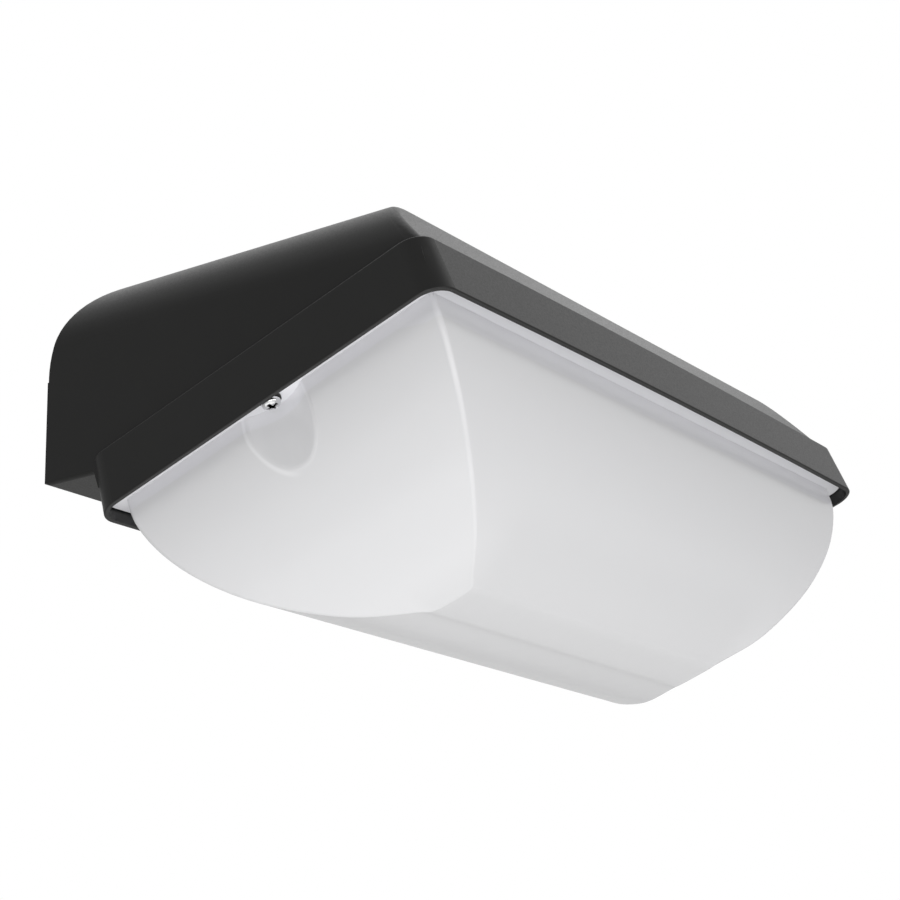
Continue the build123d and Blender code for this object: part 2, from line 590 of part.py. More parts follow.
CONNECTOR_Y = BOARD_OFFSET - CONNECTOR_SHIFT
with BuildPart() as board_connectors:
    plugs = [(CONNECTOR_X, side * CONNECTOR_Y) for side in SIDES]
    blocks(plugs, BOARD_FACE, BOARD_FACE + CONNECTOR_HEIGHT, CONNECTOR_LENGTH, CONNECTOR_WIDTH)
finish(board_connectors, "board_connectors")

# Driver: case with mounting tabs, its own board and a screwed lid
DRIVER = [(DRIVER_X, 0)]
DRIVER_FLOOR = TRAY_BACK - DRIVER_WALL
DRIVER_TOP = TRAY_BACK - DRIVER_HEIGHT
LID_FACE = DRIVER_TOP - DRIVER_LID
LID_X = DRIVER_LENGTH / 2 - LID_SCREW_INSET
LID_Y = DRIVER_WIDTH / 2 - LID_SCREW_INSET
LID_SCREWS = [(DRIVER_X + x * LID_X, y * LID_Y) for x in SIDES for y in SIDES]
DRIVER_BOARD_LENGTH = 2 * (LID_X - LID_BOSS_RADIUS - DRIVER_BOARD_GAP)
DRIVER_BOARD_WIDTH = DRIVER_WIDTH - 2 * DRIVER_WALL - 2 * DRIVER_BOARD_GAP
PILLAR_X = DRIVER_BOARD_LENGTH / 2 - PILLAR_INSET
PILLAR_Y = DRIVER_BOARD_WIDTH / 2 - PILLAR_INSET
PILLARS = [(DRIVER_X + x * PILLAR_X, y * PILLAR_Y) for x in SIDES for y in SIDES]
PILLAR_TOP = DRIVER_FLOOR - PILLAR_HEIGHT

with BuildPart() as driver_case:
    blocks(DRIVER, TRAY_BACK, DRIVER_TOP, DRIVER_LENGTH, DRIVER_WIDTH)
    fillet(edges().filter_by(Axis(MIDDLE, OUTWARD)), DRIVER_CORNER)
    blocks(DRIVER, TRAY_BACK, DRIVER_FLOOR, DRIVER_LENGTH + 2 * DRIVER_TAB, DRIVER_WIDTH)
    inner_length = DRIVER_LENGTH - 2 * DRIVER_WALL
    blocks(DRIVER, DRIVER_FLOOR, DRIVER_TOP, inner_length, DRIVER_WIDTH - 2 * DRIVER_WALL, Mode.SUBTRACT)
    discs(LID_SCREWS, DRIVER_FLOOR, DRIVER_TOP, LID_BOSS_RADIUS)
    discs(PILLARS, DRIVER_FLOOR, PILLAR_TOP, PILLAR_RADIUS)
    discs(LID_SCREWS, DRIVER_TOP, LID_FACE + LID_SCREW_LENGTH + HOLE_SPARE, SMALL_SCREW_RADIUS, Mode.SUBTRACT)
    discs(TAB_SCREWS, TRAY_BACK, DRIVER_FLOOR, SMALL_SCREW_RADIUS + HOLE_SPARE, Mode.SUBTRACT)
finish(driver_case, "driver_case")

with BuildPart() as driver_board:
    board_top = PILLAR_TOP - BOARD_THICKNESS
    blocks(DRIVER, PILLAR_TOP, board_top, DRIVER_BOARD_LENGTH, DRIVER_BOARD_WIDTH)
    blocks(DRIVER, board_top, board_top - CORE_HEIGHT, CORE_LENGTH, CORE_WIDTH)
    capacitors = [(DRIVER_X + side * CAPACITOR_SPREAD, 0) for side in SIDES]
    discs(capacitors, board_top, board_top - CAPACITOR_HEIGHT, CAPACITOR_RADIUS)
finish(driver_board, "driver_board")

with BuildPart() as driver_lid:
    blocks(DRIVER, DRIVER_TOP, LID_FACE, DRIVER_LENGTH, DRIVER_WIDTH)
    fillet(edges().filter_by(Axis(MIDDLE, OUTWARD)), DRIVER_CORNER)
    discs(LID_SCREWS, DRIVER_TOP, LID_FACE, SMALL_SCREW_RADIUS + HOLE_SPARE, Mode.SUBTRACT)
finish(driver_lid, "driver_lid")

with BuildPart() as driver_lid_screws:
    small_screws(LID_SCREWS, LID_FACE, -1, LID_SCREW_LENGTH)
finish(driver_lid_screws, "driver_lid_screws")

# Terminal block: three poles, each with a lever between ribs on a common pin
POLES = [(k - 1) * POLE_PITCH for k in range(3)]
BLOCK_LENGTH = 3 * POLE_PITCH + RIB
BLOCK_TOP = TRAY_BACK - BLOCK_HEIGHT
PIN = (BLOCK_X + PIN_SHIFT, BLOCK_TOP - PIN_RISE)
POLE_DEPTH = TRAY_BACK - POLE_ENTRY
EAR_FACE = TRAY_BACK - EAR_THICKNESS

with BuildPart() as terminal_block:
    blocks([(BLOCK_X, 0)], TRAY_BACK, BLOCK_TOP, BLOCK_DEPTH, BLOCK_LENGTH)
    ribs = [(PIN[0], y) for y in (POLES[0] - POLE_PITCH / 2, *(pole + POLE_PITCH / 2 for pole in POLES))]
    blocks(ribs, BLOCK_TOP, BLOCK_TOP - RIB_HEIGHT, RIB_LENGTH, RIB)
    blocks(EARS, TRAY_BACK, EAR_FACE, EAR_LENGTH, EAR_WIDTH)
    discs(EARS, TRAY_BACK, EAR_FACE, SMALL_SCREW_RADIUS + HOLE_SPARE, Mode.SUBTRACT)
    with BuildSketch(CROSSWISE):
        with Locations(PIN):
            Circle(PIN_RADIUS)
    extrude(amount=BLOCK_LENGTH / 2, both=True, mode=Mode.SUBTRACT)
    with BuildSketch(LENGTHWISE.offset(BLOCK_X + BLOCK_DEPTH / 2)):
        with Locations(*[(pole, POLE_DEPTH) for pole in POLES]):
            Circle(SUPPLY_HOLE_RADIUS)
    extrude(amount=-SUPPLY_HOLE_DEPTH, mode=Mode.SUBTRACT)
finish(terminal_block, "terminal_block")

with BuildPart() as terminal_pin:
    with BuildSketch(CROSSWISE):
        with Locations(PIN):
            Circle(PIN_RADIUS)
    extrude(amount=BLOCK_LENGTH / 2, both=True)
finish(terminal_pin, "terminal_pin")

LEVER_WIDTH = POLE_PITCH - RIB - 2 * LEVER_GAP
for pole, name in zip(POLES, ("live", "neutral", "earth")):
    with BuildPart() as terminal_lever:
        with BuildSketch(CROSSWISE.offset(-pole - LEVER_WIDTH / 2)):
            with Locations((PIN[0] - LEVER_LENGTH / 2, PIN[1] + LEVER_BARREL - LEVER_THICKNESS / 2)):
                Rectangle(LEVER_LENGTH, LEVER_THICKNESS)
            fillet(vertices().group_by(Axis.X)[0], LEVER_ROUND)
            with Locations(PIN):
                Circle(LEVER_BARREL)
                Circle(PIN_RADIUS + PIN_CLEARANCE, mode=Mode.SUBTRACT)
        extrude(amount=LEVER_WIDTH)
    finish(terminal_lever, f"terminal_lever_{name}")

with BuildPart() as gear_screws:
    small_screws(TAB_SCREWS + EARS, DRIVER_FLOOR, -1, TAB_SCREW_LENGTH)
finish(gear_screws, "gear_screws")

# Leads between the driver, the terminal block, the earth lug and the boards
DRIVER_DEPTH = TRAY_BACK - DRIVER_ENTRY
SUPPLY_END = DRIVER_X + DRIVER_LENGTH / 2
SUPPLY_RUN = WIRE_END * (BLOCK_FACE - SUPPLY_END)
for pole, name in zip(POLES, ("live", "neutral")):
    with BuildPart() as supply_wire:
        lead([(BLOCK_FACE, pole, POLE_DEPTH), (BLOCK_FACE - SUPPLY_RUN, pole, POLE_DEPTH),
              (SUPPLY_END + SUPPLY_RUN, pole, DRIVER_DEPTH), (SUPPLY_END, pole, DRIVER_DEPTH)], WIRE_RADIUS)
    finish(supply_wire, f"{name}_wire")

BARREL_AXIS = TRAY_BACK - LUG_THICKNESS - LUG_BARREL + LUG_SINK
BARREL_NEAR = LUG_Y - LUG_NEAR
BARREL_FAR = BARREL_NEAR - BARREL_LENGTH
with BuildPart() as earth_wire:
    lead([(BLOCK_FACE, POLES[2], POLE_DEPTH), (LUG_X, POLES[2], POLE_DEPTH),
          (LUG_X, BARREL_NEAR - BARREL_RUN, BARREL_AXIS), (LUG_X, BARREL_NEAR, BARREL_AXIS)], WIRE_RADIUS)
finish(earth_wire, "earth_wire")

with BuildPart() as earth_lug:
    lug_face = TRAY_BACK - LUG_THICKNESS
    discs(LUG, TRAY_BACK, lug_face, LUG_RADIUS)
    blocks([(LUG_X, (LUG_Y + BARREL_FAR) / 2)], TRAY_BACK, lug_face, 2 * LUG_BARREL, LUG_Y - BARREL_FAR)
    with BuildSketch(CROSSWISE.offset(-BARREL_NEAR)):
        with Locations((LUG_X, BARREL_AXIS)):
            Circle(LUG_BARREL)
    extrude(amount=BARREL_LENGTH)
    with BuildSketch(CROSSWISE.offset(-BARREL_NEAR)):
        with Locations((LUG_X, BARREL_AXIS)):
            Circle(WIRE_RADIUS)
    extrude(amount=BARREL_LENGTH, mode=Mode.SUBTRACT)
    discs(LUG, TRAY_BACK, lug_face, SMALL_SCREW_RADIUS + HOLE_SPARE, Mode.SUBTRACT)
finish(earth_lug, "earth_lug")

with BuildPart() as earth_screw:
    small_screws(LUG, TRAY_BACK - LUG_THICKNESS, -1, EARTH_SCREW_LENGTH)
finish(earth_screw, "earth_screw")

LEAD_START = DRIVER_X - DRIVER_LENGTH / 2
LEAD_DEPTH = BOARD_FACE + CONNECTOR_HEIGHT / 2
LEAD_REACH = CONNECTOR_Y - CONNECTOR_WIDTH / 2
with BuildPart() as led_wires:
    for side in SIDES:
        lane = side * LEAD_SPREAD
        lead([(LEAD_START, lane, DRIVER_DEPTH), (CONNECTOR_X, lane, DRIVER_DEPTH),
              (CONNECTOR_X, lane, LEAD_DEPTH), (CONNECTOR_X, side * LEAD_REACH, LEAD_DEPTH)], LEAD_RADIUS)
finish(led_wires, "led_wires")

# Wall side: foam seal, cable grommet and the washers under the wall screws
INSIDE = WALL_SEAL + SHELL
with BuildPart() as wall_gasket:
    with BuildSketch(Plane.XZ):
        Rectangle(BODY_WIDTH - 2 * WALL_SEAL_INSET, 2 * FLAT_HALF - 2 * WALL_SEAL_INSET)
    extrude(amount=WALL_SEAL)
    wall_discs(WALL_HOLES, 0, WALL_SEAL, HOLE_RADIUS, Mode.SUBTRACT)
    wall_discs([(0, 0)], 0, WALL_SEAL, ENTRY_RADIUS + GROMMET_RIM + WALL_SEAL_GAP, Mode.SUBTRACT)
finish(wall_gasket, "wall_gasket")

with BuildPart() as cable_grommet:
    entry = [(0, 0)]
    nose_start = INSIDE + GROMMET_INNER_RIM
    wall_discs(entry, WALL_SEAL - GROMMET_OUTER_RIM, WALL_SEAL, ENTRY_RADIUS + GROMMET_RIM)
    wall_discs(entry, WALL_SEAL, INSIDE, ENTRY_RADIUS)
    wall_discs(entry, INSIDE, nose_start, ENTRY_RADIUS + GROMMET_RIM)
    wall_discs(entry, nose_start, nose_start + GROMMET_NOSE, GROMMET_BORE + GROMMET_NOSE_WALL)
    wall_discs(entry, WALL_SEAL - GROMMET_OUTER_RIM, nose_start + GROMMET_NOSE, GROMMET_BORE, Mode.SUBTRACT)
finish(cable_grommet, "cable_grommet")

with BuildPart() as mounting_seals:
    wall_discs(WALL_HOLES, INSIDE, INSIDE + SEAL_WASHER_THICKNESS, SEAL_WASHER_RADIUS)
    wall_discs(WALL_HOLES, INSIDE, INSIDE + SEAL_WASHER_THICKNESS, HOLE_RADIUS, Mode.SUBTRACT)
finish(mounting_seals, "mounting_seals")
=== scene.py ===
import json
from math import cos, hypot, pi, radians, sin, sqrt, tan

import bmesh
import bpy
from mathutils import Matrix, Vector


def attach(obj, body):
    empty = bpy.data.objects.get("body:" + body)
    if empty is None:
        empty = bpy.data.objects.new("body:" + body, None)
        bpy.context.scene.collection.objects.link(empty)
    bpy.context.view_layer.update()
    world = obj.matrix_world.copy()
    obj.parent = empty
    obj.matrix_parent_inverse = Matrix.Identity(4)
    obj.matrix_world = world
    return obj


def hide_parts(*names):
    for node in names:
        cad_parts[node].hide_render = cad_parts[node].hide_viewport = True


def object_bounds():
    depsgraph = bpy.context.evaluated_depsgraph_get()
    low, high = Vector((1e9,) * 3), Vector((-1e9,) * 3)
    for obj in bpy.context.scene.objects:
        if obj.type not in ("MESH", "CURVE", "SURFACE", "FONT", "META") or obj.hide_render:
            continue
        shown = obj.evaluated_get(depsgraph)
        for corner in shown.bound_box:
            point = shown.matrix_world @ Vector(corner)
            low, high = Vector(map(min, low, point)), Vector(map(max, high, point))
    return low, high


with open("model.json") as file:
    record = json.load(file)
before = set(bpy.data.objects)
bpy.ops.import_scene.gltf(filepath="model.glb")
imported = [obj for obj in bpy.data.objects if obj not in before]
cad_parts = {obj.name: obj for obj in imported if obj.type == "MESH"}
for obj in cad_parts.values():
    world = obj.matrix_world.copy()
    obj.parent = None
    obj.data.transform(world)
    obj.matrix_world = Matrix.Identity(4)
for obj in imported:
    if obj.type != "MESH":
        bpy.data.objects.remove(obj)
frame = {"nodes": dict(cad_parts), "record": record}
CAD_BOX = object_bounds()
NODES = frame["nodes"]
MM = 0.001

# Mouth frame of the housing: u along the wall, v forward from the middle, n out of the mouth.
TILT = radians(19.25)
ALONG_WALL = Vector((1, 0, 0))
FORWARD = Vector((0, -cos(TILT), sin(TILT)))
OUTWARD = Vector((0, -sin(TILT), -cos(TILT)))
RIM = Vector((0, -28.2, -38.0)) * MM
MOUTH_DEPTH = 160.0
MIDDLE = RIM + FORWARD * MOUTH_DEPTH / 2 * MM

# Camera, at the photograph's viewing angle
FRAME_PX = 900
FOCAL_PX = 2249.3
SENSOR = 36.0
CLIP_START = 0.01
EYE = Vector((-0.72164, -0.56489, -0.25544))
YAW = radians(34.263)
PITCH = radians(17.32)
ROLL = radians(1.44)

ahead = Vector((cos(PITCH) * cos(YAW), cos(PITCH) * sin(YAW), sin(PITCH)))
level = Vector((sin(YAW), -cos(YAW), 0))
plumb = ahead.cross(level)
right = level * cos(ROLL) + plumb * sin(ROLL)
down = plumb * cos(ROLL) - level * sin(ROLL)
camera_data = bpy.data.cameras.new("camera")
camera_data.sensor_width = SENSOR
camera_data.lens = FOCAL_PX * SENSOR / FRAME_PX
camera_data.clip_start = CLIP_START
camera = bpy.data.objects.new("camera", camera_data)
camera.matrix_world = Matrix.Translation(EYE) @ Matrix((right, -down, -ahead)).transposed().to_4x4()
bpy.context.collection.objects.link(camera)
bpy.context.scene.camera = camera
bpy.context.scene.view_settings.view_transform = "Standard"

# Sizes and places of the pieces made here, in millimetres, as in the solids
COVER_SCREW_X = 151.5
COVER_HEAD_SEAT = -3.7
SCOOP_X = 165.4
SCOOP_DRAFT = radians(5)
TRAY_FACE = -13.0
BOARD_FACE = -11.4
POST_X = 118.0
POST_Y = 50.0
BOARD_SCREW_X = 108.0
BOARD_SCREW_Y = 33.0
CHIP_COUNT = 12
CHIP_FIRST = -93.5
CHIP_PITCH = 17.0
CHIP_ROW = 28.0
CHIP_SIZE = 3.5
CONNECTOR_X = -109.0
CONNECTOR_Y = 22.5
ENTRY_Y = 19.4
ENTRY_FACE = -9.4

COVER_SCREW = {"head_radius": 3.5, "head_height": 2.6, "radius": 1.95, "length": 13.0, "pitch": 0.7,
               "rings_per_turn": 9}
TRAY_SCREW = {"head_radius": 3.0, "head_height": 2.0, "radius": 1.5, "length": 10.0, "pitch": 0.8,
              "rings_per_turn": 5}
BOARD_SCREW = {**TRAY_SCREW, "length": 6.0}
SOLDER = {"size": (0.7, 2.6, 0.45), "round_by": 0.2}
SOLDER_OUT = (CHIP_SIZE + SOLDER["size"][0]) / 2
CONNECTOR_BODY = {"size": (10.0, 6.7, 2.9), "round_by": 0.3}
CONNECTOR_STEP = {"size": (9.4, 4.0, 1.2), "round_by": 0.35}
RELEASE_KEY = {"size": (2.6, 2.4, 1.1), "round_by": 0.25}
CONTACT_CAP = {"size": (1.8, 2.6, 0.4), "round_by": 0.15}
LEAD_ENTRY = {"outer": 1.5, "inner": 0.8, "length": 0.4}

# Places on a connector, forward of its middle and out from its foot
BODY_SPOT = (0.15, 0)
STEP_SPOT = (1.4, 2.7)
KEY_SPOT = (-1.5, 2.5)
CAP_SPOT = (1.4, 3.6)
CONTACT_X = 2.4

# Forms of a screw, as shares of its own sizes
SCREW_AROUND = 48
THREAD_DEPTH = 0.16
FLANK_SLOPE = 1.6
FLANK_START = 0.2
TIP_TAPER = 0.2
TIP_TURNS = 1.2
HEAD_SIDE = ((0.97, 0.0), (1.0, 0.12), (1.0, 0.32))     # radius and height
DOME_RINGS = 26
DOME_POWER = 2.6
RECESS_REACH = 0.68
RECESS_ARM = 0.17
RECESS_END_SLOPE = 0.14
RECESS_SIDE_SLOPE = 0.07
RECESS_DEPTH = 0.85
RECESS_RISE = 0.35

# Forms of a tube, as shares of its radius and its length: up the outside, then down into the bore
TUBE_AROUND = 32
TUBE_OUTSIDE = ((1.0, 0.0), (1.0, 0.9), (0.94, 1.0))
TUBE_BORE = ((1.15, 1.0), (1.0, 0.6), (1.0, 0.1))

BLOCK_SEGMENTS = 3
SHARP_ANGLE = radians(32)

# All materials
NOISE_ROUGHNESS = 0.55
UNEVEN_GLOSS = 0.15

# Opal plastic: its tones with the painted light and shade laid over them, and the stretches of the mouth
# frame over which they change
OPAL_ROUGHNESS = 0.22
OPAL_IOR = 1.49
OPAL_WAVES = 40 * MM
OPAL_WAVE_HEIGHT = 0.05 * MM
RIM_PAINTED_LIGHT_TONE = (0.88, 0.88, 0.91)
DOME_TONE = (0.855, 0.855, 0.87)
RIM_END = (-0.2 * MM, 0.6 * MM)
RIM_FRONT = (55 * MM, 66 * MM)
RIM_FRONT_DROP = 4 * MM
CREASE = (-4.5 * MM, 0.5 * MM)
FRONT_FADE = (30 * MM, 54 * MM)
END_FADE = (78 * MM, 106 * MM)
FRONT_PAINTED_SHADE = 0.06
SCOOP_EDGE = (20.4 * MM, 21.2 * MM)
SCOOP_LENGTH = (-9 * MM, 8 * MM)
SCOOP_PAINTED_LIGHT = (-0.05, 0.15)
LIP_INNER = (20.8 * MM, 21.2 * MM)
LIP_OUTER = (21.4 * MM, 22.2 * MM)
LIP_LENGTH = (-8 * MM, -1 * MM)
LIP_PAINTED_HIGHLIGHT = 0.11

# Cover screws: bright all over, with painted shade inside the recess of the head
BRIGHT_STEEL = (0.78, 0.78, 0.79)
RECESS_PAINTED_SHADE_TONE = (0.05, 0.05, 0.05)
RECESS_EDGE = (2.2 * MM, 2.5 * MM)
RECESS_TOP = (-2.0 * MM, -1.5 * MM)
HEAD_FOOT = (COVER_HEAD_SEAT * MM, (COVER_HEAD_SEAT + 0.2) * MM)

# Boards: a track on either side of the row of chips, and the tones across it
TRACK_INNER = (2.5 * MM, 3.0 * MM)
TRACK_OUTER = (6.0 * MM, 6.4 * MM)
TRACK_HEIGHT = 0.05 * MM
TRACK_TONE = (0.76, 0.76, 0.73)
TRACK_EDGE_TONE = (0.66, 0.66, 0.63)
BOARD_SPAN = (0, 10 * MM)
BOARD_TONES = ((0.25, (0.83, 0.83, 0.82)), (0.27, TRACK_EDGE_TONE), (0.30, TRACK_TONE), (0.58, TRACK_TONE),
               (0.61, TRACK_EDGE_TONE), (0.63, (0.85, 0.85, 0.84)))

# Chips: tones from the middle of the window over its edge to the package
CHIP_SPAN = (0, 2 * MM)
CHIP_TONES = ((0.0, (0.90, 0.66, 0.12)), (0.62, (0.86, 0.58, 0.08)), (0.68, (0.62, 0.56, 0.40)),
              (0.74, (0.80, 0.79, 0.75)))


# Nodes of the materials
def new_node(tree, kind, inputs=None, **settings):
    """Add a node; an input may be a plain value or the output of another node."""
    made = tree.nodes.new(kind)
    for key, value in settings.items():
        setattr(made, key, value)
    for key, value in (inputs or {}).items():
        if isinstance(value, bpy.types.NodeSocket):
            tree.links.new(value, made.inputs[key])
        else:
            made.inputs[key].default_value = value
    return made


def noise(tree, size, detail):
    """Soft noise whose features are about size metres across."""
    spot = new_node(tree, "ShaderNodeTexCoord").outputs["Object"]
    inputs = {"Vector": spot, "Scale": 1 / size, "Detail": detail, "Roughness": NOISE_ROUGHNESS}
    return new_node(tree, "ShaderNodeTexNoise", inputs).outputs["Fac"]


def cells(tree, size):
    """Round cells about size metres across."""
    spot = new_node(tree, "ShaderNodeTexCoord").outputs["Object"]
    inputs = {"Vector": spot, "Scale": 1 / size}
    return new_node(tree, "ShaderNodeTexVoronoi", inputs, feature="SMOOTH_F1").outputs["Distance"]


def ramp(tree, value, *stops):
    """Colours along a value; each stop is (place, colour)."""
    made = new_node(tree, "ShaderNodeValToRGB", {"Fac": value})
    points = made.color_ramp.elements
    while len(points) < len(stops):
        points.new(0.5)
    for point, (spot, colour) in zip(points, stops):
        point.position = spot
        point.color = (*colour, 1)
    return made.outputs["Color"]


def spread(tree, value, low, high, start=0.3, end=0.7, smooth=False):
    """Turn a value from start to end into one from low to high."""
    inputs = {"Value": value, "From Min": start, "From Max": end, "To Min": low, "To Max": high}
    kind = "SMOOTHSTEP" if smooth else "LINEAR"
    return new_node(tree, "ShaderNodeMapRange", inputs, interpolation_type=kind).outputs["Result"]


def raised(tree, value, height):
    """Bump of the given height in metres."""
    inputs = {"Height": value, "Distance": height, "Strength": 1.0}
    return new_node(tree, "ShaderNodeBump", inputs).outputs["Normal"]


def maths(tree, kind, *values):
    """Result of a maths node."""
    return new_node(tree, "ShaderNodeMath", dict(enumerate(values)), operation=kind).outputs["Value"]


def product(tree, first, *others):
    """Values multiplied with one another."""
    for other in others:
        first = maths(tree, "MULTIPLY", first, other)
    return first


def along(tree, direction):
    """How far a point of the part is from the middle of the mouth, along a direction."""
    spot = new_node(tree, "ShaderNodeTexCoord").outputs["Object"]
    inputs = {0: spot, 1: MIDDLE}
    from_middle = new_node(tree, "ShaderNodeVectorMath", inputs, operation="SUBTRACT").outputs["Vector"]
    inputs = {0: from_middle, 1: direction}
    return new_node(tree, "ShaderNodeVectorMath", inputs, operation="DOT_PRODUCT").outputs["Value"]


def distance(tree, sideways, ahead_by):
    """Length of the diagonal of two distances at right angles."""
    squares = [maths(tree, "POWER", side, 2) for side in (sideways, ahead_by)]
    return maths(tree, "SQRT", maths(tree, "ADD", *squares))


def from_axis(tree, sideways, ahead_by, axis_x):
    """Distance from an axis at axis_x millimetres, on either side of the middle of the mouth."""
    return distance(tree, maths(tree, "SUBTRACT", sideways, axis_x * MM), ahead_by)


def from_chip(tree):
    """Distances of a point from the nearest chip of a board, along the row and across it."""
    steps = maths(tree, "ADD", along(tree, ALONG_WALL), (CHIP_PITCH / 2 - CHIP_FIRST) * MM)
    past_chip = maths(tree, "FLOORED_MODULO", steps, CHIP_PITCH * MM)
    lengthwise = maths(tree, "SUBTRACT", past_chip, CHIP_PITCH / 2 * MM)
    across = maths(tree, "SUBTRACT", maths(tree, "ABSOLUTE", along(tree, FORWARD)), CHIP_ROW * MM)
    return maths(tree, "ABSOLUTE", lengthwise), maths(tree, "ABSOLUTE", across)


# Materials
def shaded(colour, by):
    """The colour made lighter or darker by a factor."""
    return tuple(min(1.0, part * by) for part in colour)


def surface(name, colour, rough, grain, height, mottle=0.06, blotch=20.0, metal=0.0, cellular=False):
    """Material with fine grain, uneven gloss and a little mottling. Sizes are in millimetres."""
    made = bpy.data.materials.new(name)
    made.use_nodes = True
    tree = made.node_tree
    shader = tree.nodes["Principled BSDF"]
    shader.inputs["Metallic"].default_value = metal
    patches = noise(tree, blotch * MM, detail=4.0)
    tone = ramp(tree, patches, (0.3, shaded(colour, 1 - mottle)), (0.7, shaded(colour, 1 + mottle)))
    tree.links.new(tone, shader.inputs["Base Color"])
    texture = cells(tree, grain * MM) if cellular else noise(tree, grain * MM, detail=2.0)
    gloss = spread(tree, texture, (1 - UNEVEN_GLOSS) * rough, (1 + UNEVEN_GLOSS) * rough)
    tree.links.new(gloss, shader.inputs["Roughness"])
    tree.links.new(raised(tree, texture, height * MM), shader.inputs["Normal"])
    return made


def screw_steel(name):
    """Polished steel, with painted shade inside the cross recess of the cover screws."""
    made = surface(name, BRIGHT_STEEL, 0.08, 1.5, 0.001, metal=1.0)
    tree = made.node_tree
    sideways = maths(tree, "ABSOLUTE", along(tree, ALONG_WALL))
    out_by = along(tree, OUTWARD)
    radius = from_axis(tree, sideways, along(tree, FORWARD), COVER_SCREW_X)
    recess_painted_shade = product(tree, spread(tree, radius, 1, 0, *RECESS_EDGE),
                        spread(tree, out_by, 1, 0, *RECESS_TOP), spread(tree, out_by, 0, 1, *HEAD_FOOT))
    tone = ramp(tree, recess_painted_shade, (0.0, BRIGHT_STEEL), (1.0, RECESS_PAINTED_SHADE_TONE))
    tree.links.new(tone, tree.nodes["Principled BSDF"].inputs["Base Color"])
    return made


def opal(name):
    """Opal plastic: milky and glossy. Its tones by place are painted light and shade: a lighter rim and
    scoops, a painted highlight on the scoop lips and painted shade ahead of the crease.
    """
    made = bpy.data.materials.new(name)
    made.use_nodes = True
    tree = made.node_tree
    shader = tree.nodes["Principled BSDF"]
    shader.inputs["Roughness"].default_value = OPAL_ROUGHNESS
    shader.inputs["IOR"].default_value = OPAL_IOR
    sideways = maths(tree, "ABSOLUTE", along(tree, ALONG_WALL))
    ahead_by = along(tree, FORWARD)
    out_by = along(tree, OUTWARD)

    # Painted light: the rim is painted a little lighter than the dome, against the shade it gets in the
    # channel, and reaches further out along the front.
    depth = maths(tree, "SUBTRACT", out_by, spread(tree, ahead_by, 0, RIM_FRONT_DROP, *RIM_FRONT))
    rim_painted_light = ramp(tree, spread(tree, depth, 0, 1, *RIM_END), (0.0, RIM_PAINTED_LIGHT_TONE), (1.0, DOME_TONE))

    # Painted shade: a stretch ahead of the crease at the crown is painted a little darker, but not near the
    # ends.
    front = product(tree, spread(tree, ahead_by, 0, 1, *CREASE),
                    spread(tree, ahead_by, 1, 0, *FRONT_FADE, smooth=True),
                    spread(tree, sideways, 1, 0, *END_FADE, smooth=True))

    # Painted light: the scoops are painted lighter towards the front, and a painted highlight lies on the
    # lip at the rear.
    flare = product(tree, out_by, tan(SCOOP_DRAFT))
    from_scoop = maths(tree, "SUBTRACT", from_axis(tree, sideways, ahead_by, SCOOP_X), flare)
    in_scoop = spread(tree, from_scoop, 1, 0, *SCOOP_EDGE, smooth=True)
    scoop_painted_light = product(tree, in_scoop, spread(tree, ahead_by, *SCOOP_PAINTED_LIGHT, *SCOOP_LENGTH))
    lip_painted_highlight = product(tree, spread(tree, from_scoop, 0, 1, *LIP_INNER),
                       spread(tree, from_scoop, 1, 0, *LIP_OUTER, smooth=True),
                       spread(tree, ahead_by, LIP_PAINTED_HIGHLIGHT, 0, *LIP_LENGTH, smooth=True))

    painted_light_factor = maths(tree, "ADD", maths(tree, "ADD", 1, scoop_painted_light), lip_painted_highlight)
    painted_light_and_shade = maths(tree, "SUBTRACT", painted_light_factor, product(tree, front, FRONT_PAINTED_SHADE))
    inputs = {0: rim_painted_light, 1: painted_light_and_shade}
    tone = new_node(tree, "ShaderNodeVectorMath", inputs, operation="MULTIPLY").outputs["Vector"]
    tree.links.new(tone, shader.inputs["Base Color"])
    waves = noise(tree, OPAL_WAVES, detail=1.0)
    tree.links.new(raised(tree, waves, OPAL_WAVE_HEIGHT), shader.inputs["Normal"])
    return made


def chip_face(name):
    """White package with a round yellow window over the light source."""
    made = surface(name, (0.78, 0.77, 0.72), 0.34, 0.4, 0.003, 0.03)
    tree = made.node_tree
    radius = distance(tree, *from_chip(tree))
    tone = ramp(tree, spread(tree, radius, 0, 1, *CHIP_SPAN), *CHIP_TONES)
    tree.links.new(tone, tree.nodes["Principled BSDF"].inputs["Base Color"])
    return made


def printed_board(name):
    """White solder resist over copper tracks, which show as faint raised lines beside the row of chips."""
    made = surface(name, (0.80, 0.80, 0.79), 0.28, 1.0, 0.004, 0.03)
    tree = made.node_tree
    shader = tree.nodes["Principled BSDF"]
    _, across = from_chip(tree)
    tone = ramp(tree, spread(tree, across, 0, 1, *BOARD_SPAN), *BOARD_TONES)
    tree.links.new(tone, shader.inputs["Base Color"])
    height = product(tree, spread(tree, across, 0, 1, *TRACK_INNER, smooth=True),
                     spread(tree, across, 1, 0, *TRACK_OUTER, smooth=True))
    tree.links.new(raised(tree, height, TRACK_HEIGHT), shader.inputs["Normal"])
    return made


